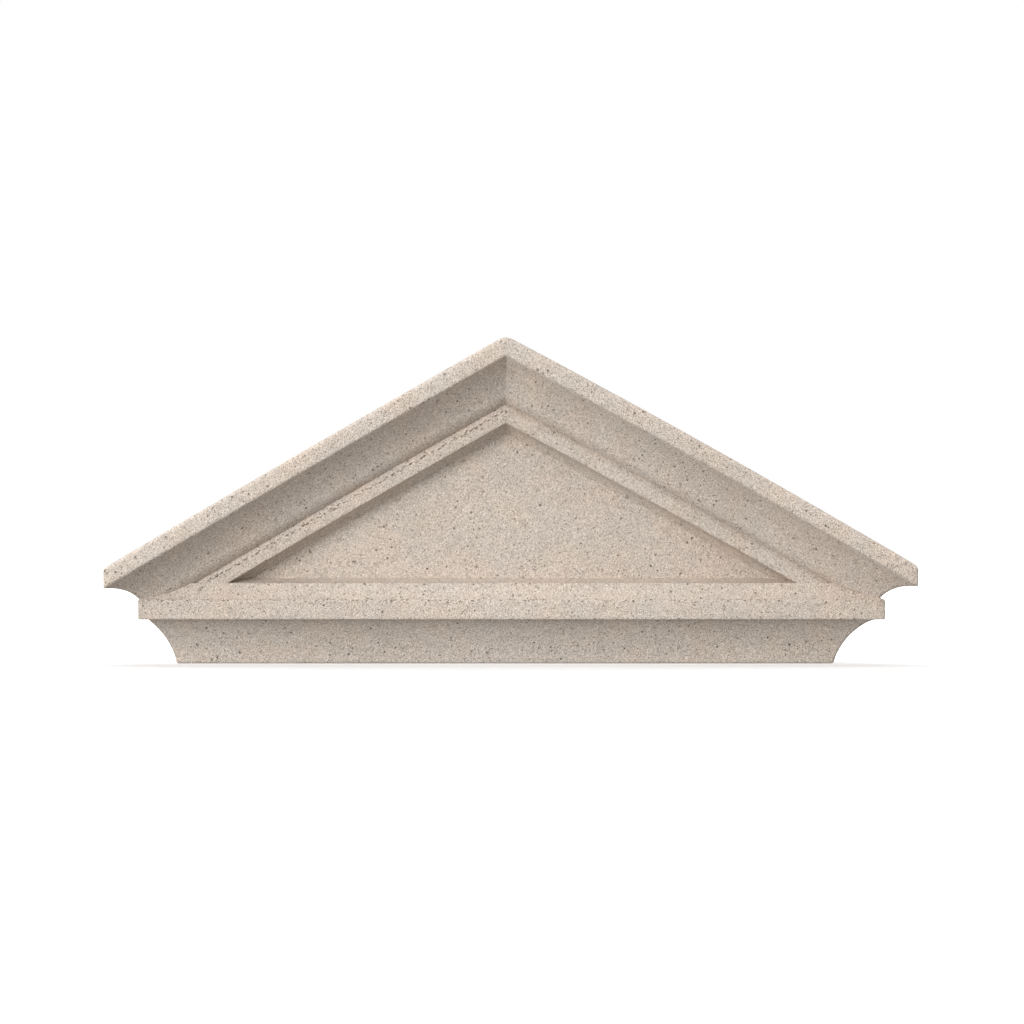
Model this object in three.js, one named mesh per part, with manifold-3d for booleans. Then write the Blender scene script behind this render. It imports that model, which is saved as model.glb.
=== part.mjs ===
// Classical pediment: a small gable of cast stone that crowns a door, window or niche.
// It is one casting. A raking cornice runs up both slopes and returns round both ends, a level
// cornice runs along the foot, and the triangle between them is a sunk panel, the tympanum.
//
// Millimetres, +Z up. The front looks along -Y and the flat back, at +Y, stands against the wall.
// The origin is the middle of the underside, on the centre line of the crown.

import * as THREE from 'three';
import { mergeVertices } from 'three/addons/utils/BufferGeometryUtils.js';
import Module from 'manifold-3d';

// Overall form
const crownWidth = 816.5;
const bedDepth = 85;
const leftEndHeight = 97.6;
const rightEndHeight = 99.8;
const ridgeHeight = 331.2;
const leftSwell = 1.5;
const rightSwell = 3.3;
const ridgeOffset = -5;
const ridgeWear = 6;

// Raking cornice: drops are measured straight down, insets straight back from the crown's face
const crownFillet = 20.5;
const cymaDrop = 47.3;
const cymaInset = 47.5;
const cymaTurnDrop = 33.5;
const cymaTurnInset = 35;
const cymaHollow = 3.6;
const cymaRound = 2;
const chamferDrop = 5;
const chamferProud = 3.5;
const innerFillet = 14.7;
const coveDrop = 9.5;
const coveInset = 22.6;
const coveHollow = 2.4;

// Level cornice, from the underside up
const cavettoHeight = 45.9;
const cavettoHollow = 4;
const rightReturnDepth = 39.2;
const levelShift = 0.8;
const fasciaInset = 31.2;
const fasciaHeight = 21.2;
const fasciaSoffit = 9.3;
const soffitFall = 0.4;
const washTread = 0.5;
const washRise = 15.8;
const washHollow = 1.8;
const sillRise = 4.8;
const sillHollow = 0.8;

// Worn edges
const crownArris = 4.5;
const dripArris = 1.5;
const fasciaArris = 2.5;
const fasciaDripArris = 1.2;
const innerArris = 1.6;
const bedArris = 3;
const cornerRound = 2;

// How finely curves and rakes are stepped
const curveSteps = 5;
const cornerSteps = 3;
const rakeSteps = 8;
const ridgeSteps = 4;

// Places that follow from the sizes above
const innerInset = cymaInset - chamferProud;
const tympanumInset = innerInset + coveInset;
const cavettoInset = fasciaInset + fasciaSoffit;
const fasciaFoot = cavettoHeight - soffitFall;
const fasciaTop = fasciaFoot + fasciaHeight;
const wallFace = bedDepth / 2;
const crownFace = wallFace - bedDepth - tympanumInset;
const halfWidth = crownWidth / 2;
const jointHeight = (fasciaFoot + fasciaTop) / 2;
const keyDepth = 8;

// Height of the crown's top edge at x, with the slight swell of each rake.
function roofHeight(x) {
  const onLeft = x < ridgeOffset;
  const run = halfWidth + (onLeft ? ridgeOffset : -ridgeOffset);
  const endHeight = onLeft ? leftEndHeight : rightEndHeight;
  const swell = onLeft ? leftSwell : rightSwell;
  const climb = 1 - Math.abs(x - ridgeOffset) / run;
  return endHeight + (ridgeHeight - endHeight) * climb + 4 * swell * climb * (1 - climb);
}

// How far the worn ridge falls short of a sharp one at x.
function ridgeLoss(x) {
  const away = Math.min(1, Math.abs(x - ridgeOffset) / ridgeWear);
  const slope = (ridgeHeight - rightEndHeight) / halfWidth;
  return (slope * ridgeWear * (1 - away) ** 2) / 2;
}

// Profiles are drawn from the foot up, with the stone on the right hand: x is the inset, y the height.
// A hollow above nought bends the line into the stone, and one below nought bulges it out.
function bendTo(profile, x, y, hollow) {
  const from = profile.currentPoint;
  const along = new THREE.Vector2(x - from.x, y - from.y).normalize();
  const midX = (from.x + x) / 2 + 2 * hollow * along.y;
  const midY = (from.y + y) / 2 - 2 * hollow * along.x;
  profile.quadraticCurveTo(midX, midY, x, y);
}

// Runs straight to a corner that is worn round, and leaves it towards the next point.
function wornCorner(profile, corner, next, wear) {
  const before = profile.currentPoint.clone().sub(corner).setLength(wear).add(corner);
  const after = next.clone().sub(corner).setLength(wear).add(corner);
  profile.lineTo(before.x, before.y);
  profile.quadraticCurveTo(corner.x, corner.y, after.x, after.y);
}

// Section of the raking cornice, with heights counted down from the top of the rake.
function rakingProfile() {
  const cymaTop = -crownFillet;
  const cymaFoot = cymaTop - cymaDrop;
  const chamferFoot = cymaFoot - chamferDrop;
  const innerFoot = chamferFoot - innerFillet;
  const profile = new THREE.Path();
  profile.moveTo(tympanumInset, -ridgeHeight);
  profile.lineTo(tympanumInset, innerFoot - coveDrop);
  bendTo(profile, innerInset + innerArris, innerFoot, coveHollow);
  profile.quadraticCurveTo(innerInset, innerFoot, innerInset, innerFoot + innerArris);
  profile.lineTo(innerInset, chamferFoot);
  profile.lineTo(cymaInset, cymaFoot);
  bendTo(profile, cymaTurnInset, cymaTop - cymaTurnDrop, -cymaRound);
  bendTo(profile, dripArris, cymaTop - dripArris / 2, cymaHollow);
  profile.quadraticCurveTo(0, cymaTop, 0, cymaTop + dripArris);
  wornCorner(profile, new THREE.Vector2(0, 0), new THREE.Vector2(1, 0), crownArris);
  return profile.getPoints(curveSteps);
}

// Section of the level cornice, with true heights. It ends a little way inside the tympanum.
function levelProfile() {
  const washFoot = new THREE.Vector2(fasciaInset + fasciaArris + washTread, fasciaTop);
  const washTop = fasciaTop + washRise;
  const sillTop = washTop + sillRise;
  const fasciaFootCorner = new THREE.Vector2(fasciaInset, fasciaFoot);
  const fasciaTopCorner = new THREE.Vector2(fasciaInset, fasciaTop);
  const profile = new THREE.Path();
  profile.moveTo(tympanumInset + bedArris, 0);
  profile.quadraticCurveTo(tympanumInset, 0, tympanumInset, bedArris);
  bendTo(profile, cavettoInset, cavettoHeight, cavettoHollow);
  wornCorner(profile, fasciaFootCorner, fasciaTopCorner, fasciaDripArris);
  wornCorner(profile, fasciaTopCorner, washFoot, fasciaArris);
  profile.lineTo(washFoot.x, washFoot.y);
  bendTo(profile, innerInset, washTop, washHollow);
  bendTo(profile, tympanumInset, sillTop, sillHollow);
  profile.lineTo(tympanumInset + keyDepth, sillTop + (sillRise * keyDepth) / coveInset);
  return profile.getPoints(curveSteps);
}

// One closed line of a moulding: round the left end, along the front, round the right end and
// back along the wall. placesBetween gives the x places that the front needs between its corners.
function course(inset, placesBetween, heightAt) {
  const left = -halfWidth + inset.left;
  const right = halfWidth - inset.right;
  const face = crownFace + inset.front;
  const corner = [];
  for (let step = 0; step <= cornerSteps; step += 1) {
    const turn = (Math.PI / 2) * (step / cornerSteps);
    corner.push([cornerRound * (1 - Math.cos(turn)), cornerRound * (1 - Math.sin(turn))]);
  }
  const front = corner.map(([across, back]) => [left + across, face + back]);
  placesBetween(left + cornerRound, right - cornerRound).forEach((x) => front.push([x, face]));
  corner.reverse().forEach(([across, back]) => front.push([right - across, face + back]));
  const back = front.map(([x]) => [x, wallFace]).reverse();
  return [...front, ...back].map(([x, y]) => new THREE.Vector3(x, y, heightAt(x)));
}

// Closed body through a stack of courses, lowest first.
function stackedBody(courses) {
  const count = courses[0].length;
  const positions = courses.flat().flatMap((point) => point.toArray());
  const faces = [];
  for (let level = 0; level < courses.length - 1; level += 1) {
    for (let place = 0; place < count; place += 1) {
      const lower = level * count + place;
      const lowerNext = level * count + ((place + 1) % count);
      faces.push(lower, lowerNext, lowerNext + count, lower, lowerNext + count, lower + count);
    }
  }
  const top = (courses.length - 1) * count;
  for (let place = 0; place < count / 2 - 1; place += 1) {
    const opposite = count - 1 - place;
    faces.push(place, opposite, opposite - 1, place, opposite - 1, place + 1);
    faces.push(top + place, top + place + 1, top + opposite - 1);
    faces.push(top + place, top + opposite - 1, top + opposite);
  }
  const geometry = new THREE.BufferGeometry();
  geometry.setAttribute('position', new THREE.Float32BufferAttribute(positions, 3));
  geometry.setIndex(faces);
  return geometry;
}

// The front of the raking cornice is stepped along each rake and finely over the ridge.
function rakePlaces(from, to) {
  const places = [];
  const ridgeLeft = ridgeOffset - ridgeWear;
  const ridgeRight = ridgeOffset + ridgeWear;
  for (let step = 1; step < rakeSteps; step += 1) {
    places.push(THREE.MathUtils.lerp(from, ridgeLeft, step / rakeSteps));
  }
  for (let step = 0; step <= ridgeSteps; step += 1) {
    places.push(THREE.MathUtils.lerp(ridgeLeft, ridgeRight, step / ridgeSteps));
  }
  for (let step = 1; step < rakeSteps; step += 1) {
    places.push(THREE.MathUtils.lerp(ridgeRight, to, step / rakeSteps));
  }
  return places;
}

function rakingCornice() {
  const courses = rakingProfile().map((point) => {
    const inset = { left: point.x, front: point.x, right: point.x };
    const wear = Math.max(0, 1 + point.y / crownFillet);
    return course(inset, rakePlaces, (x) => roofHeight(x) + point.y - wear * ridgeLoss(x));
  });
  return stackedBody(courses);
}

// It stands slightly to the right of the crown's centre. Its cavetto is deeper on the right return than
// along the front, and falls away faster at its head.
function levelCornice() {
  const frontDepth = tympanumInset - cavettoInset;
  const courses = levelProfile().map((point) => {
    const share = point.y < cavettoHeight ? (point.x - cavettoInset) / frontDepth : 0;
    const deeper = Math.sqrt(Math.max(0, share)) * (rightReturnDepth - frontDepth);
    const left = point.x + levelShift;
    const right = point.x - levelShift + deeper;
    const inset = { left, front: point.x, right };
    return course(inset, () => [], () => point.y);
  });
  return stackedBody(courses);
}

const wasm = await Module();
wasm.setup();

function toSolid(geometry) {
  const bare = geometry.clone();
  bare.deleteAttribute('normal');
  bare.deleteAttribute('uv');
  const merged = mergeVertices(bare, 1e-4);
  const mesh = new wasm.Mesh({
    numProp: 3,
    vertProperties: Float32Array.from(merged.attributes.position.array),
    triVerts: Uint32Array.from(merged.index.array),
  });
  return new wasm.Manifold(mesh);
}

function toGeometry(solid) {
  const mesh = solid.getMesh();
  const geometry = new THREE.BufferGeometry();
  geometry.setAttribute('position', new THREE.BufferAttribute(mesh.vertProperties, 3));
  geometry.setIndex(new THREE.BufferAttribute(mesh.triVerts, 1));
  geometry.computeVertexNormals();
  return geometry;
}

// Space above the height at which the raking cornice stands in the level one.
function spaceAboveJoint() {
  const box = new THREE.BoxGeometry(2 * crownWidth, 2 * crownWidth, ridgeHeight);
  box.translate(0, 0, jointHeight + ridgeHeight / 2);
  return toSolid(box);
}

const gable = toSolid(rakingCornice()).intersect(spaceAboveJoint());
const casting = toSolid(levelCornice()).add(gable);

const castStone = new THREE.MeshStandardMaterial({ color: 0xcbc0b2, roughness: 0.94, metalness: 0 });
const pediment = new THREE.Mesh(toGeometry(casting), castStone);
pediment.name = 'pediment';

const model = new THREE.Group();
model.add(pediment);

export default model;
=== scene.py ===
"""Cast stone pediment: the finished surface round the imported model, in metres.

The raking cornice and the level cornice are each run as one moulding, joined, and then given the
air holes and nicks of a casting. Heights and insets are the model's own.
"""

import math
import random

import bmesh
import bpy
from mathutils import Euler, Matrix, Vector


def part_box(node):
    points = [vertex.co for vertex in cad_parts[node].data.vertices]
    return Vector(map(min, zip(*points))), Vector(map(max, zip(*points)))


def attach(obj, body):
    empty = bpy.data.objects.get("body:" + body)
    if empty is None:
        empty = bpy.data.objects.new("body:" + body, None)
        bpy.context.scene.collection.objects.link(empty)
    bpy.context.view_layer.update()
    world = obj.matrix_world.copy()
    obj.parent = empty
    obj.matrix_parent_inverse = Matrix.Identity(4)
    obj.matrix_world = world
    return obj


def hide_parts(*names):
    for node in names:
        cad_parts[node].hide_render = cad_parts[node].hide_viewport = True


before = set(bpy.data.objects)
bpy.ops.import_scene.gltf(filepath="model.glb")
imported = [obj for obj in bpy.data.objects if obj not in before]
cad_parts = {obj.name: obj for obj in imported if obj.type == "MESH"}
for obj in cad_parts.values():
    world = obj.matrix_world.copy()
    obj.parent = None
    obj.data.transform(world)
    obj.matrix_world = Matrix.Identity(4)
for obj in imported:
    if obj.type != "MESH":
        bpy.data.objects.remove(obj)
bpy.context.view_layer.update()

NODE = "pediment"
MM = 0.001
SEED = 41

# The solid's own box gives the width, the back and the crown's face
LOW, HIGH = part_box(NODE)
WIDTH = HIGH.x - LOW.x
WALL_FACE = HIGH.y
CROWN_FACE = LOW.y

# Raking cornice, drops measured straight down
RIDGE_OFFSET = -5 * MM
RIDGE_WEAR = 6 * MM
RIDGE_HEIGHT = 331.2 * MM
END_HEIGHT = {"left": 97.6 * MM, "right": 99.8 * MM}
SWELL = {"left": 1.5 * MM, "right": 3.3 * MM}
CROWN_FILLET = 20.5 * MM
CYMA_DROP = 47.3 * MM
CYMA_INSET = 47.5 * MM
CYMA_TURN_DROP = 33.5 * MM
CYMA_TURN_INSET = 35 * MM
CYMA_HOLLOW = 3.6 * MM
CYMA_ROUND = 2 * MM
CHAMFER_DROP = 5 * MM
CHAMFER_PROUD = 3.5 * MM
INNER_FILLET = 14.7 * MM
COVE_DROP = 9.5 * MM
COVE_INSET = 22.6 * MM
COVE_HOLLOW = 2.4 * MM

# Level cornice, from the underside up
CAVETTO_HEIGHT = 45.9 * MM
CAVETTO_HOLLOW = 4 * MM
RIGHT_RETURN = 39.2 * MM
LEVEL_SHIFT = 0.8 * MM
FASCIA_INSET = 31.2 * MM
FASCIA_HEIGHT = 21.2 * MM
FASCIA_SOFFIT = 9.3 * MM
SOFFIT_FALL = 0.4 * MM
SOFFIT_RISE = 0.1 * MM  # outwards, so that no ring of the section folds over another at the flat back
WASH_TREAD = 0.5 * MM
WASH_RISE = 15.8 * MM
WASH_HOLLOW = 1.8 * MM
SILL_RISE = 4.8 * MM
SILL_HOLLOW = 0.8 * MM

# Worn edges
CROWN_ARRIS = 4.5 * MM
DRIP_ARRIS = 1.5 * MM
FASCIA_ARRIS = 2.5 * MM
FASCIA_DRIP_ARRIS = 1.2 * MM
INNER_ARRIS = 1.6 * MM
BED_ARRIS = 3 * MM
CORNER_ROUND = 2 * MM

# Places that follow
INNER_INSET = CYMA_INSET - CHAMFER_PROUD
TYMPANUM_INSET = INNER_INSET + COVE_INSET
CAVETTO_INSET = FASCIA_INSET + FASCIA_SOFFIT
FASCIA_FOOT = CAVETTO_HEIGHT - SOFFIT_FALL
FASCIA_TOP = FASCIA_FOOT + FASCIA_HEIGHT
JOINT_HEIGHT = (FASCIA_FOOT + FASCIA_TOP) / 2
KEY_DEPTH = 8 * MM
HALF = WIDTH / 2

# Large air holes on the front of the cavetto: x, height, radius
LARGE_HOLES = (
    (283.3 * MM, 19.3 * MM, 2.1 * MM),
    (261 * MM, 27 * MM, 1.9 * MM),
)

# Fineness of the mesh
COURSE_STEP = 2.8 * MM
PANEL_STEP = 6 * MM
RUN_STEP = 3.5 * MM

# The photograph's frame: one pixel is one millimetre at the crown's face
IMAGE_PIXELS = 1024
SENSOR_MM = 36
LENS_MM = 135
CAMERA_AWAY = LENS_MM / SENSOR_MM * IMAGE_PIXELS * MM
CAMERA_X = 1.25 * MM
CAMERA_HEIGHT = 154.2 * MM


def only(obj):
    """Leaves one object selected and active."""
    bpy.ops.object.select_all(action="DESELECT")
    obj.select_set(True)
    bpy.context.view_layer.objects.active = obj


def apply_modifier(obj, kind, name, **settings):
    only(obj)
    modifier = obj.modifiers.new(name, kind)
    for key, value in settings.items():
        setattr(modifier, key, value)
    bpy.ops.object.modifier_apply(modifier=modifier.name)


def weigh(obj, name, weight_of):
    """Gives obj a vertex group whose weights are worked out from each vertex."""
    group = obj.vertex_groups.new(name=name)
    for vertex in obj.data.vertices:
        group.add([vertex.index], weight_of(vertex), "REPLACE")
    return group.name


class Section:
    """A moulding's section, drawn from the foot up as closely spaced (inset, height) points."""

    def __init__(self, inset, height):
        self.points = [Vector((inset, height))]

    def line(self, inset, height, step=COURSE_STEP):
        start = self.points[-1]
        end = Vector((inset, height))
        pieces = max(1, math.ceil((end - start).length / step))
        self.points += [start.lerp(end, i / pieces) for i in range(1, pieces + 1)]

    def curve(self, middle, end, step=COURSE_STEP):
        """A quadratic curve that leaves towards middle and arrives from it."""
        start = self.points[-1]
        length = (middle - start).length + (end - middle).length
        pieces = max(4, math.ceil(length / step))
        for i in range(1, pieces + 1):
            t = i / pieces
            self.points.append(start.lerp(middle, t).lerp(middle.lerp(end, t), t))

    def bend(self, inset, height, hollow):
        """A hollow above nought bends into the stone, and one below nought bulges out."""
        start = self.points[-1]
        end = Vector((inset, height))
        along = (end - start).normalized()
        self.curve((start + end) / 2 + 2 * hollow * Vector((along.y, -along.x)), end)

    def worn_corner(self, corner, onward, wear):
        corner = Vector(corner)
        before = corner + (self.points[-1] - corner).normalized() * wear
        after = corner + (Vector(onward) - corner).normalized() * wear
        self.line(before.x, before.y)
        self.curve(corner, after)


def raking_section():
    """Heights are counted down from the top of the rake."""
    cyma_top = -CROWN_FILLET
    cyma_foot = cyma_top - CYMA_DROP
    chamfer_foot = cyma_foot - CHAMFER_DROP
    inner_foot = chamfer_foot - INNER_FILLET
    section = Section(TYMPANUM_INSET, -RIDGE_HEIGHT)
    section.line(TYMPANUM_INSET, inner_foot - COVE_DROP, PANEL_STEP)
    section.bend(INNER_INSET + INNER_ARRIS, inner_foot, COVE_HOLLOW)
    section.curve(Vector((INNER_INSET, inner_foot)), Vector((INNER_INSET, inner_foot + INNER_ARRIS)))
    section.line(INNER_INSET, chamfer_foot)
    section.line(CYMA_INSET, cyma_foot)
    section.bend(CYMA_TURN_INSET, cyma_top - CYMA_TURN_DROP, -CYMA_ROUND)
    section.bend(DRIP_ARRIS, cyma_top - DRIP_ARRIS / 2, CYMA_HOLLOW)
    section.curve(Vector((0, cyma_top)), Vector((0, cyma_top + DRIP_ARRIS)))
    section.worn_corner((0, 0), (1, 0), CROWN_ARRIS)
    return section.points


def level_section():
    """True heights. It ends a little way inside the tympanum."""
    wash_foot = (FASCIA_INSET + FASCIA_ARRIS + WASH_TREAD, FASCIA_TOP)
    wash_top = FASCIA_TOP + WASH_RISE
    sill_top = wash_top + SILL_RISE
    section = Section(TYMPANUM_INSET + BED_ARRIS, 0)
    section.curve(Vector((TYMPANUM_INSET, 0)), Vector((TYMPANUM_INSET, BED_ARRIS)))
    section.bend(CAVETTO_INSET, FASCIA_FOOT - SOFFIT_RISE, CAVETTO_HOLLOW)
    section.worn_corner((FASCIA_INSET, FASCIA_FOOT), (FASCIA_INSET, FASCIA_TOP), FASCIA_DRIP_ARRIS)
    section.worn_corner((FASCIA_INSET, FASCIA_TOP), wash_foot, FASCIA_ARRIS)
    section.line(*wash_foot)
    section.bend(INNER_INSET, wash_top, WASH_HOLLOW)
    section.bend(TYMPANUM_INSET, sill_top, SILL_HOLLOW)
    section.line(TYMPANUM_INSET + KEY_DEPTH, sill_top + SILL_RISE * KEY_DEPTH / COVE_INSET)
    return section.points


def same_returns(point):
    """Both returns step in as far as the front does."""
    return point.x, point.x


def cast_returns(point):
    """The level cornice stands a little to the right, and its cavetto is deeper on that return."""
    front_depth = TYMPANUM_INSET - CAVETTO_INSET
    share = (point.x - CAVETTO_INSET) / front_depth if point.y < CAVETTO_HEIGHT else 0
    deeper = math.sqrt(max(0, share)) * (RIGHT_RETURN - front_depth)
    return point.x + LEVEL_SHIFT, point.x - LEVEL_SHIFT + deeper


def plan_of(point, returns):
    """The left, right and front of one course."""
    left, right = returns(point)
    return -HALF + left, HALF - right, CROWN_FACE + point.x


def add_bed(name, left, right, front, height):
    """A level sheet of even squares over one course, with its two front corners rounded."""
    columns = 2 * round((right - left) / 2 / RUN_STEP)
    rows = round((WALL_FACE - front) / RUN_STEP)
    middle = ((left + right) / 2, (front + WALL_FACE) / 2, height)
    bpy.ops.mesh.primitive_grid_add(x_subdivisions=columns, y_subdivisions=rows, size=1, location=middle)
    sheet = bpy.context.object
    sheet.name = name
    sheet.scale = (right - left, WALL_FACE - front, 1)
    bpy.ops.object.transform_apply(location=True, rotation=True, scale=True)
    bpy.ops.object.mode_set(mode="EDIT")
    bpy.ops.mesh.select_mode(type="VERT")
    bpy.ops.mesh.select_all(action="DESELECT")
    bpy.ops.object.mode_set(mode="OBJECT")
    for vertex in sheet.data.vertices:
        at_end = min(vertex.co.x - left, right - vertex.co.x) < MM / 10
        vertex.select = at_end and vertex.co.y - front < MM / 10
    bpy.ops.object.mode_set(mode="EDIT")
    bpy.ops.mesh.bevel(affect="VERTICES", offset=CORNER_ROUND, segments=3)
    return sheet


def stretch(now, then):
    """Scale and fixed point that take one pair of ends to another."""
    scale = (then[1] - then[0]) / (now[1] - now[0])
    if abs(scale - 1) < 1e-9:
        return 1, now[0]
    return scale, (then[0] - scale * now[0]) / (1 - scale)


def run_moulding(name, section, returns):
    """Builds a moulding course by course: the top sheet is drawn up and drawn in at every point."""
    left, right, front = plan_of(section[0], returns)
    piece = add_bed(name, left, right, front, section[0].y)
    bpy.ops.mesh.select_mode(type="FACE")
    bpy.ops.mesh.select_all(action="SELECT")
    for below, point in zip(section, section[1:]):
        rise = (0, 0, point.y - below.y)
        bpy.ops.mesh.extrude_region_move(TRANSFORM_OT_translate={"value": rise})
        now, then = plan_of(below, returns), plan_of(point, returns)
        across, fixed_x = stretch(now[:2], then[:2])
        back, fixed_y = stretch((now[2], WALL_FACE), (then[2], WALL_FACE))
        bpy.ops.transform.resize(value=(across, back, 1), center_override=(fixed_x, fixed_y, point.y))
    bpy.ops.mesh.select_all(action="SELECT")
    bpy.ops.mesh.normals_make_consistent(inside=False)
    bpy.ops.object.mode_set(mode="OBJECT")
    return piece


def roof_height(x):
    """Height of the crown's top edge at x, with the slight swell of each rake."""
    side = "left" if x < RIDGE_OFFSET else "right"
    run = HALF + (RIDGE_OFFSET if side == "left" else -RIDGE_OFFSET)
    climb = 1 - abs(x - RIDGE_OFFSET) / run
    straight = END_HEIGHT[side] + (RIDGE_HEIGHT - END_HEIGHT[side]) * climb
    return straight + 4 * SWELL[side] * climb * (1 - climb)


def ridge_loss(x):
    """How far the worn ridge falls short of a sharp one."""
    away = min(1, abs(x - RIDGE_OFFSET) / RIDGE_WEAR)
    slope = (RIDGE_HEIGHT - END_HEIGHT["right"]) / HALF
    return slope * RIDGE_WEAR * (1 - away) ** 2 / 2


def raise_gable(piece):
    """Lifts a level moulding so that it runs up both rakes and mitres at the ridge."""

    def lift(vertex):
        wear = max(0, 1 + vertex.co.z / CROWN_FILLET)
        return (roof_height(vertex.co.x) - wear * ridge_loss(vertex.co.x)) / RIDGE_HEIGHT

    apply_modifier(
        piece, "DISPLACE", "gable", direction="Z", mid_level=0, strength=RIDGE_HEIGHT,
        vertex_group=weigh(piece, "climb", lift),
    )


def shift_ridge(piece):
    """Slides the courses along so that one line of squares runs down the ridge's mitre."""

    def shift(vertex):
        return 1 - min(1, abs(vertex.co.x) / HALF)

    apply_modifier(
        piece, "DISPLACE", "ridge", direction="X", mid_level=0, strength=RIDGE_OFFSET,
        vertex_group=weigh(piece, "middle", shift),
    )


def cut_off_below(piece, height):
    only(piece)
    bpy.ops.object.mode_set(mode="EDIT")
    bpy.ops.mesh.select_all(action="SELECT")
    bpy.ops.mesh.bisect(
        plane_co=(0, 0, height), plane_no=(0, 0, 1), use_fill=True, clear_inner=True
    )
    bpy.ops.object.mode_set(mode="OBJECT")


def exposed(vertex):
    """The back and the underside stay flat."""
    return vertex.co.y < WALL_FACE - MM / 10 and vertex.co.z > MM / 10


def sharp_places(piece):
    """How sharp the surface turns at each vertex: 0 on a flat, 1 on an arris."""
    gentle, sharp = math.radians(9), math.radians(22)
    mesh = bmesh.new()
    mesh.from_mesh(piece.data)
    turns = [max(edge.calc_face_angle(0) for edge in vertex.link_edges) for vertex in mesh.verts]
    mesh.free()
    return [min(1, max(0, (turn - gentle) / (sharp - gentle))) for turn in turns]


def weather(piece, name, size, depth, octaves, weight_of=exposed):
    """Wears the shown surface inwards by an uneven depth."""
    texture = bpy.data.textures.new(name, "CLOUDS")
    texture.noise_scale = size
    texture.noise_depth = octaves
    apply_modifier(
        piece, "DISPLACE", name, texture=texture, texture_coords="LOCAL", direction="NORMAL",
        mid_level=0.8, strength=depth, vertex_group=weigh(piece, name, weight_of),
    )


def nick_arrises(piece):
    """Crumbles the sharp edges a little, as casting and handling leave them."""
    turns = sharp_places(piece)

    def crumbled(vertex):
        return turns[vertex.index] if exposed(vertex) else 0

    weather(piece, "crumbled " + piece.name, 4 * MM, 0.6 * MM, 3, crumbled)


def raking_cornice():
    piece = run_moulding("raking", raking_section(), same_returns)
    shift_ridge(piece)
    raise_gable(piece)
    cut_off_below(piece, JOINT_HEIGHT)
    return piece


def level_cornice():
    return run_moulding("level", level_section(), cast_returns)


def combine(piece, other, operation):
    apply_modifier(piece, "BOOLEAN", operation.lower(), object=other, operation=operation, solver="MANIFOLD")
    bpy.data.objects.remove(other)


def air_hole():
    """The shape of one air hole, of unit radius, lumpy as trapped air leaves it."""
    bpy.ops.mesh.primitive_ico_sphere_add(subdivisions=2, radius=1)
    hole = bpy.context.object
    bpy.ops.object.mode_set(mode="EDIT")
    bpy.ops.mesh.select_all(action="SELECT")
    bpy.ops.transform.vertex_random(offset=0.18, seed=SEED)
    bpy.ops.object.mode_set(mode="OBJECT")
    return hole


def scatter_places(piece, count, apart, allowed, draw):
    """Random places on the shown surface, with their outward normals, none too near another."""
    mesh = piece.data
    polygons = [p for p in mesh.polygons if allowed(p)]
    areas = [p.area for p in polygons]
    cells = {}
    places = []
    for polygon in draw.choices(polygons, weights=areas, k=3 * count):
        corners = [mesh.vertices[i].co for i in polygon.vertices]
        first, second = draw.random(), draw.random()
        place = corners[0].lerp(corners[1], first).lerp(corners[-1].lerp(corners[2], first), second)
        cell = tuple(round(c / apart) for c in place)
        near = [
            cells.get((cell[0] + i, cell[1] + j, cell[2] + k))
            for i in (-1, 0, 1) for j in (-1, 0, 1) for k in (-1, 0, 1)
        ]
        if any(near):
            continue
        cells[cell] = True
        places.append((place, polygon.normal.copy()))
        if len(places) == count:
            break
    return places


def under_chamfer(polygon):
    """The top of the left inner fillet, where the mix has not filled the mould."""
    x, y, z = polygon.center
    foot = roof_height(x) - CROWN_FILLET - CYMA_DROP - CHAMFER_DROP
    on_face = abs(y - CROWN_FACE - INNER_INSET) < MM
    return on_face and x < RIDGE_OFFSET and 0 < foot - z < 2.5 * MM and z > FASCIA_TOP + WASH_RISE


def under_wash(polygon):
    """The top edge of the fascia, which has not filled well either."""
    x, y, z = polygon.center
    on_face = y - CROWN_FACE < FASCIA_INSET + FASCIA_ARRIS
    return on_face and polygon.normal.y < -0.5 and abs(z - FASCIA_TOP + FASCIA_ARRIS / 2) < 1.5 * MM


def placed_holes(piece):
    """The few large holes that catch the eye, on the front of the cavetto."""
    front = [p for p in piece.data.polygons if p.normal.y < -0.5 and p.center.z < CAVETTO_HEIGHT]
    for x, z, radius in LARGE_HOLES:
        polygon = min(front, key=lambda p: math.hypot(p.center.x - x, p.center.z - z))
        yield Vector((x, polygon.center.y, z)), polygon.normal.copy(), radius


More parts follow.
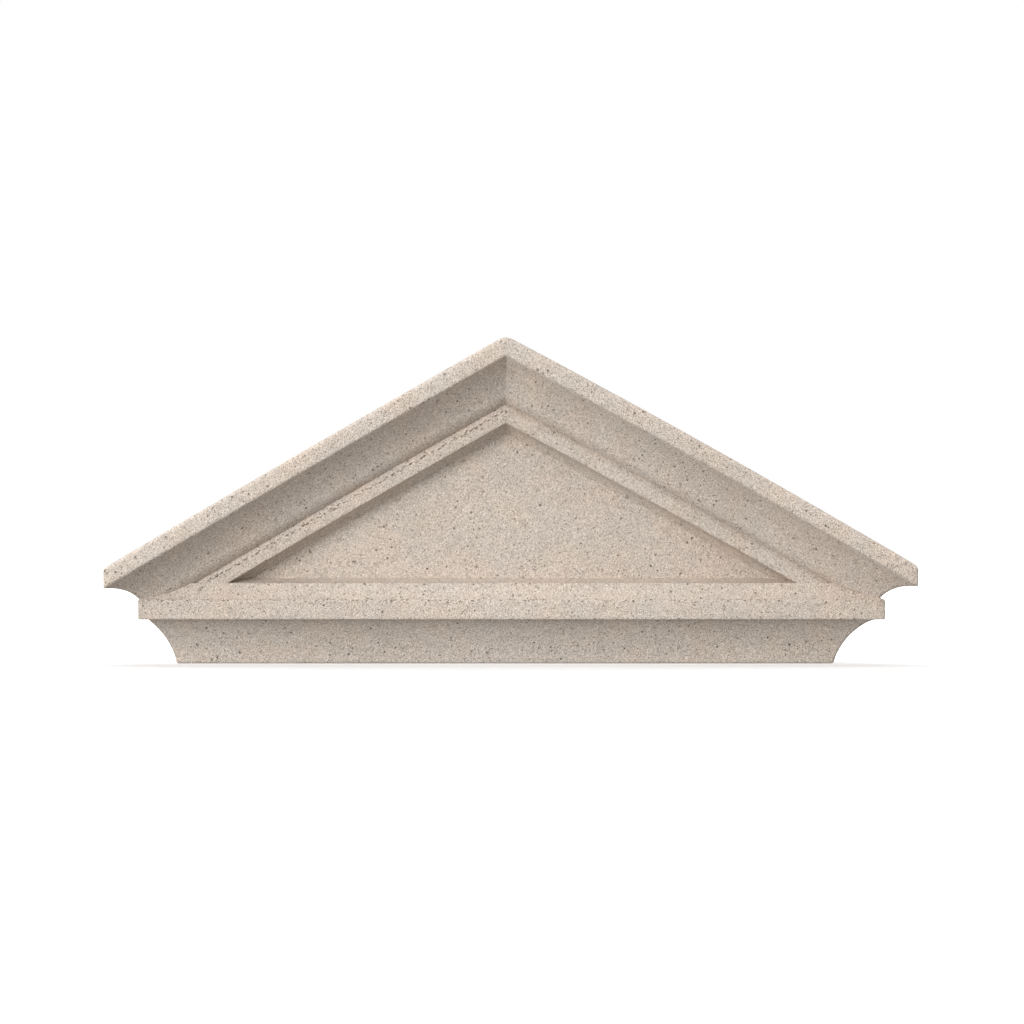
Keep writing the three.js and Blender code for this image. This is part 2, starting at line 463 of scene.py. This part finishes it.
def pit_surface(piece):
    """Cuts the air holes of the casting into the surface."""
    draw = random.Random(SEED)
    pattern = air_hole()

    def shown(polygon):
        return polygon.center.y < WALL_FACE - 2 * MM and polygon.center.z > 2 * MM

    def any_turn():
        return Euler([draw.uniform(0, math.tau) for _ in range(3)])

    chosen = []

    def choose(place, normal, size, turn):
        """The hole's mouth is narrower than its inside."""
        chosen.append((place - normal * min(size) * draw.uniform(0.4, 0.6), size, turn))

    for place, normal, radius in placed_holes(piece):
        choose(place, normal, (radius, radius, radius), any_turn())
    for place, normal in scatter_places(piece, 400, 7 * MM, shown, draw):
        radius = (0.8 + 0.4 * draw.random() + 0.9 * draw.random() ** 5) * MM
        choose(place, normal, (radius, radius * draw.uniform(0.85, 1), radius), any_turn())
    rake = math.atan((RIDGE_HEIGHT - END_HEIGHT["left"]) / (HALF + RIDGE_OFFSET))
    for allowed, count, largest, slope in ((under_chamfer, 150, 1.2, rake), (under_wash, 90, 0.9, 0)):
        for place, normal in scatter_places(piece, count, 2 * MM, allowed, draw):
            radius = draw.uniform(0.6, largest) * MM
            choose(place, normal, (radius * 2.2, radius * 1.6, radius), Euler((0, -slope, 0)))

    holes = []
    for place, size, turn in chosen:
        hole = pattern.copy()
        hole.data = pattern.data.copy()
        bpy.context.collection.objects.link(hole)
        hole.scale = size
        hole.rotation_euler = turn
        hole.location = place
        holes.append(hole)
    bpy.data.objects.remove(pattern)
    bpy.ops.object.select_all(action="DESELECT")
    for hole in holes:
        hole.select_set(True)
    bpy.context.view_layer.objects.active = holes[0]
    bpy.ops.object.join()
    tool = bpy.context.object
    bpy.ops.object.transform_apply(location=True, rotation=True, scale=True)
    combine(piece, tool, "DIFFERENCE")


def cast_pediment():
    raking = raking_cornice()
    level = level_cornice()
    for piece in (raking, level):
        weather(piece, "hand rubbed " + piece.name, 70 * MM, 0.35 * MM, 2)
        weather(piece, "worn " + piece.name, 9 * MM, 0.3 * MM, 2)
        nick_arrises(piece)
    combine(level, raking, "UNION")
    stone = level
    stone.name = "cast_pediment"
    pit_surface(stone)
    only(stone)
    bpy.ops.object.mode_set(mode="EDIT")
    bpy.ops.mesh.select_all(action="SELECT")
    bpy.ops.mesh.remove_doubles(threshold=MM / 1000)
    bpy.ops.mesh.normals_make_consistent(inside=False)
    bpy.ops.object.mode_set(mode="OBJECT")
    stone.vertex_groups.clear()
    bpy.ops.object.shade_smooth_by_angle(angle=math.radians(32))
    return stone


class Wire:
    """A shader socket that takes part in arithmetic. Each sum adds its Math node."""

    def __init__(self, tree, socket):
        self.tree = tree
        self.socket = socket

    @staticmethod
    def node(tree, kind, settings=None, inputs=None, output=0):
        """Adds a node, sets it, joins its inputs and hands back one of its outputs."""
        made = tree.nodes.new(kind)
        for key, value in (settings or {}).items():
            if key == "stops":
                for index, (position, colour) in enumerate(value):
                    ramp = made.color_ramp.elements
                    stop = ramp[index] if index < 2 else ramp.new(position)
                    stop.position = position
                    stop.color = colour
            else:
                setattr(made, key, value)
        for key, value in (inputs or {}).items():
            if isinstance(value, Wire):
                tree.links.new(value.socket, made.inputs[key])
            else:
                made.inputs[key].default_value = value
        return Wire(tree, made.outputs[output])

    def sum(self, operation, first, second):
        return Wire.node(self.tree, "ShaderNodeMath", {"operation": operation}, {0: first, 1: second})

    def __add__(self, other):
        return self.sum("ADD", self, other)

    def __radd__(self, other):
        return self.sum("ADD", other, self)

    def __sub__(self, other):
        return self.sum("SUBTRACT", self, other)

    def __rsub__(self, other):
        return self.sum("SUBTRACT", other, self)

    def __mul__(self, other):
        return self.sum("MULTIPLY", self, other)

    def __rmul__(self, other):
        return self.sum("MULTIPLY", other, self)


def cast_stone():
    """Sandy buff cast stone: mottled cement, sand grains and dark specks, with painted shade in its pits and
    pinholes.
    """
    material = bpy.data.materials.new("cast_stone")
    material.use_nodes = True
    tree = material.node_tree
    shader = tree.nodes["Principled BSDF"]
    upright = Wire.node(tree, "ShaderNodeTexCoord", output="Object")
    place = Wire.node(tree, "ShaderNodeMapping", {}, {"Vector": upright, "Rotation": (0.7, 0.5, 0.9)})

    def noise(scale, detail, roughness=0.5, twist=0):
        inputs = {
            "Vector": place, "Scale": scale, "Detail": detail, "Roughness": roughness, "Distortion": twist,
        }
        return Wire.node(tree, "ShaderNodeTexNoise", {}, inputs, "Fac")

    def fade(value, low, high, to_low=0, to_high=1):
        inputs = {"Value": value, "From Min": low, "From Max": high, "To Min": to_low, "To Max": to_high}
        return Wire.node(tree, "ShaderNodeMapRange", {"interpolation_type": "SMOOTHSTEP"}, inputs)

    def blend(factor, below, above, kind="MIX"):
        inputs = {"Factor": factor, "A": below, "B": above}
        return Wire.node(tree, "ShaderNodeMix", {"data_type": "RGBA", "blend_type": kind}, inputs, "Result")

    def cells(scale, share, size):
        """Scattered dots: only a share of the cells holds one."""
        cell = {"Vector": place, "Scale": scale}
        dots = Wire.node(tree, "ShaderNodeTexVoronoi", {}, cell, "Distance")
        lot = Wire.node(tree, "ShaderNodeTexVoronoi", {}, cell, "Color")
        draw = Wire.node(tree, "ShaderNodeSeparateColor", {}, {0: lot}, 0)
        return fade(dots, size, size * 0.35) * fade(draw, share, share * 0.7)

    broad = fade(noise(7, 3), 0.35, 0.65)
    warm = fade(noise(26, 4), 0.42, 0.68)
    blotch = noise(150, 3, 0.6)
    grain = noise(700, 2, 0.6)
    sand = noise(1400, 1, 0.5)
    pepper = fade(noise(560, 2, 0.6), 0.575, 0.66)
    specks = cells(430, 0.36, 0.36)
    shaded_pits = cells(260, 0.14, 0.32)
    shaded_pinholes = cells(185, 0.10, 0.3)
    glints = fade(noise(760, 2, 0.6, 3.7), 0.6, 0.68)

    body = blend(broad, (0.583, 0.508, 0.440, 1), (0.615, 0.543, 0.478, 1))
    body = blend(warm * 0.4, body, (0.660, 0.535, 0.430, 1))
    tone = blotch * 0.35 + grain * 1.05 + sand * 2.0 - 0.7
    tone_colour = Wire.node(tree, "ShaderNodeCombineColor", {}, {0: tone, 1: tone, 2: tone})
    body = blend(1, body, tone_colour, "MULTIPLY")
    body = blend(glints * 0.34, body, (0.97, 0.95, 0.93, 1))
    body = blend(pepper * 0.3, body, (0.26, 0.185, 0.13, 1))
    body = blend(specks * 0.8, body, (0.22, 0.155, 0.11, 1))
    # Painted shade: the pits and pinholes are painted dark brown to near black for the shade inside these small
    # holes; the bump below dents them too.
    body = blend(shaded_pits * 0.75, body, (0.15, 0.11, 0.08, 1))
    body = blend(shaded_pinholes * 0.75, body, (0.10, 0.08, 0.065, 1))
    tree.links.new(body.socket, shader.inputs["Base Color"])

    rough = 0.88 + grain * 0.12
    tree.links.new(rough.socket, shader.inputs["Roughness"])
    shader.inputs["Specular IOR Level"].default_value = 0.2

    height = grain * 0.7 + sand * 0.5 + blotch * 0.4 - pepper * 0.4 - specks * 0.4 - shaded_pits * 0.7 - shaded_pinholes * 1.2
    relief = Wire.node(
        tree, "ShaderNodeBump", {}, {"Strength": 0.7, "Distance": 1 * MM, "Height": height}
    )
    tree.links.new(relief.socket, shader.inputs["Normal"])
    return material


def pale_floor():
    bpy.ops.mesh.primitive_plane_add(size=12, location=(0, 0, 0))
    floor = bpy.context.object
    floor.name = "floor"
    material = bpy.data.materials.new("pale floor")
    material.use_nodes = True
    shader = material.node_tree.nodes["Principled BSDF"]
    shader.inputs["Base Color"].default_value = (0.82, 0.82, 0.82, 1)
    shader.inputs["Roughness"].default_value = 0.9
    shader.inputs["Specular IOR Level"].default_value = 0
    shader.inputs["Emission Strength"].default_value = 1
    tree = material.node_tree
    # Painted light: the floor's emission grows from 0.06 at the crown's face to 0.9 at the wall, so the stone's
    # shadow fades out behind it.
    place = Wire.node(tree, "ShaderNodeTexCoord", output="Object")
    back = Wire.node(tree, "ShaderNodeSeparateXYZ", {}, {0: place}, "Y")
    glow = Wire.node(
        tree, "ShaderNodeMapRange", {"interpolation_type": "SMOOTHSTEP"},
        {"Value": back, "From Min": CROWN_FACE, "From Max": WALL_FACE, "To Min": 0.06, "To Max": 0.9},
    )
    colour = Wire.node(tree, "ShaderNodeCombineColor", {}, {0: glow, 1: glow, 2: glow})
    tree.links.new(colour.socket, shader.inputs["Emission Color"])
    floor.data.materials.append(material)
    floor.visible_diffuse = False
    floor.visible_glossy = False
    floor.visible_shadow = False


def studio_light():
    """A wide soft box up to the left in front, and a white room that is brightest overhead."""
    scene = bpy.context.scene
    world = bpy.data.worlds.new("white room")
    scene.world = world
    world.use_nodes = True
    tree = world.node_tree
    tree.nodes.clear()
    way = Wire.node(tree, "ShaderNodeTexCoord", output="Generated")
    upward = Wire.node(tree, "ShaderNodeSeparateXYZ", {}, {0: way}, "Z")
    ramp = Wire.node(
        tree, "ShaderNodeValToRGB",
        {"stops": [(0, (0.285, 0.277, 0.27, 1)), (1, (1, 1, 1, 1)), (0.5, (0.22, 0.22, 0.22, 1))]},
        {0: upward * 0.5 + 0.5},
    )
    room = Wire.node(tree, "ShaderNodeBackground", {}, {"Color": ramp, "Strength": 1.58})
    backdrop = Wire.node(tree, "ShaderNodeBackground", {}, {"Color": (1, 1, 1, 1), "Strength": 1})
    seen = Wire.node(tree, "ShaderNodeLightPath", output="Is Camera Ray")
    both = Wire.node(tree, "ShaderNodeMixShader", {}, {0: seen, 1: room, 2: backdrop})
    output = tree.nodes.new("ShaderNodeOutputWorld")
    tree.links.new(both.socket, output.inputs["Surface"])

    target = Vector((0, CROWN_FACE, HIGH.z / 2))
    towards = Vector((-0.58, -0.78, 0.22)).normalized()
    lamp = bpy.data.lights.new("soft box", "AREA")
    lamp.shape = "SQUARE"
    lamp.size = 3.2
    lamp.energy = 262
    box = bpy.data.objects.new("soft box", lamp)
    box.location = target + towards * 6
    box.rotation_euler = (-towards).to_track_quat("-Z", "Y").to_euler()
    scene.collection.objects.link(box)


def photo_camera():
    scene = bpy.context.scene
    data = bpy.data.cameras.new("camera")
    data.lens = LENS_MM
    data.sensor_width = SENSOR_MM
    data.clip_end = 50
    camera = bpy.data.objects.new("camera", data)
    camera.location = (CAMERA_X, CROWN_FACE - CAMERA_AWAY, CAMERA_HEIGHT)
    camera.rotation_euler = (math.pi / 2, 0, 0)
    scene.collection.objects.link(camera)
    scene.camera = camera
    scene.view_settings.view_transform = "Standard"


photo_camera()
studio_light()
pale_floor()

stone = cast_pediment()
stone.data.materials.clear()
stone.data.materials.append(cast_stone())
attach(stone, "root")
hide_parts(NODE)
